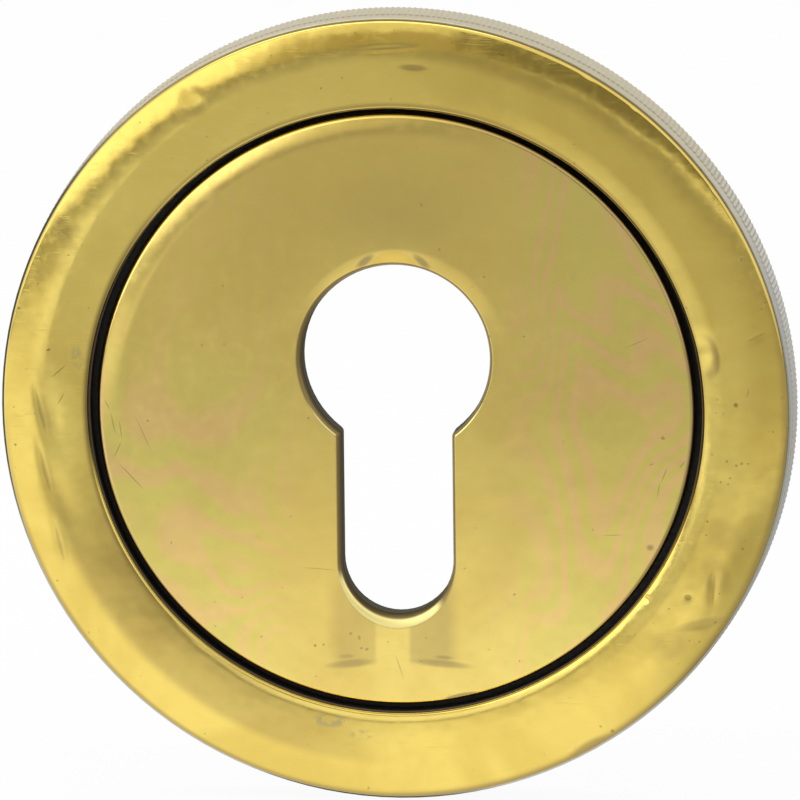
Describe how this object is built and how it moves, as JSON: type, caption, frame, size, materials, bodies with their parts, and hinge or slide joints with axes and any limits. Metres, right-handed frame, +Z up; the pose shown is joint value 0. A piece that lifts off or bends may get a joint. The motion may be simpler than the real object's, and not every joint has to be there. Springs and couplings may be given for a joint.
{
  "type": "keyhole escutcheon",
  "caption": "Round brass keyhole escutcheon with a knurled screw-on cover ring and a fixed centre disc cut for a profile cylinder lock.",
  "frame": {"origin": "the middle of the round cover, on the door's face, midway between the two fixing screws", "axes": "upright as on a door: +Z up, the brass front looks along -Y and the back lies on the door at Y 0; the keyhole's slot hangs down from its round"},
  "size_m": [0.075, 0.0065, 0.075],
  "materials": {
    "ring_brass": "polished, worn and lightly dented",
    "disc_brass": "polished, with a faint tarnish",
    "rim_plating": "dull nickel plate",
    "grey_metal": "plain grey, slightly rough"
  },
  "bodies": {
    "root": {"base_plate": "grey_metal", "keyhole_disc": "disc_brass", "knurled_rim": "rim_plating", "face_ring": "ring_brass"}
  },
  "joints": []
}
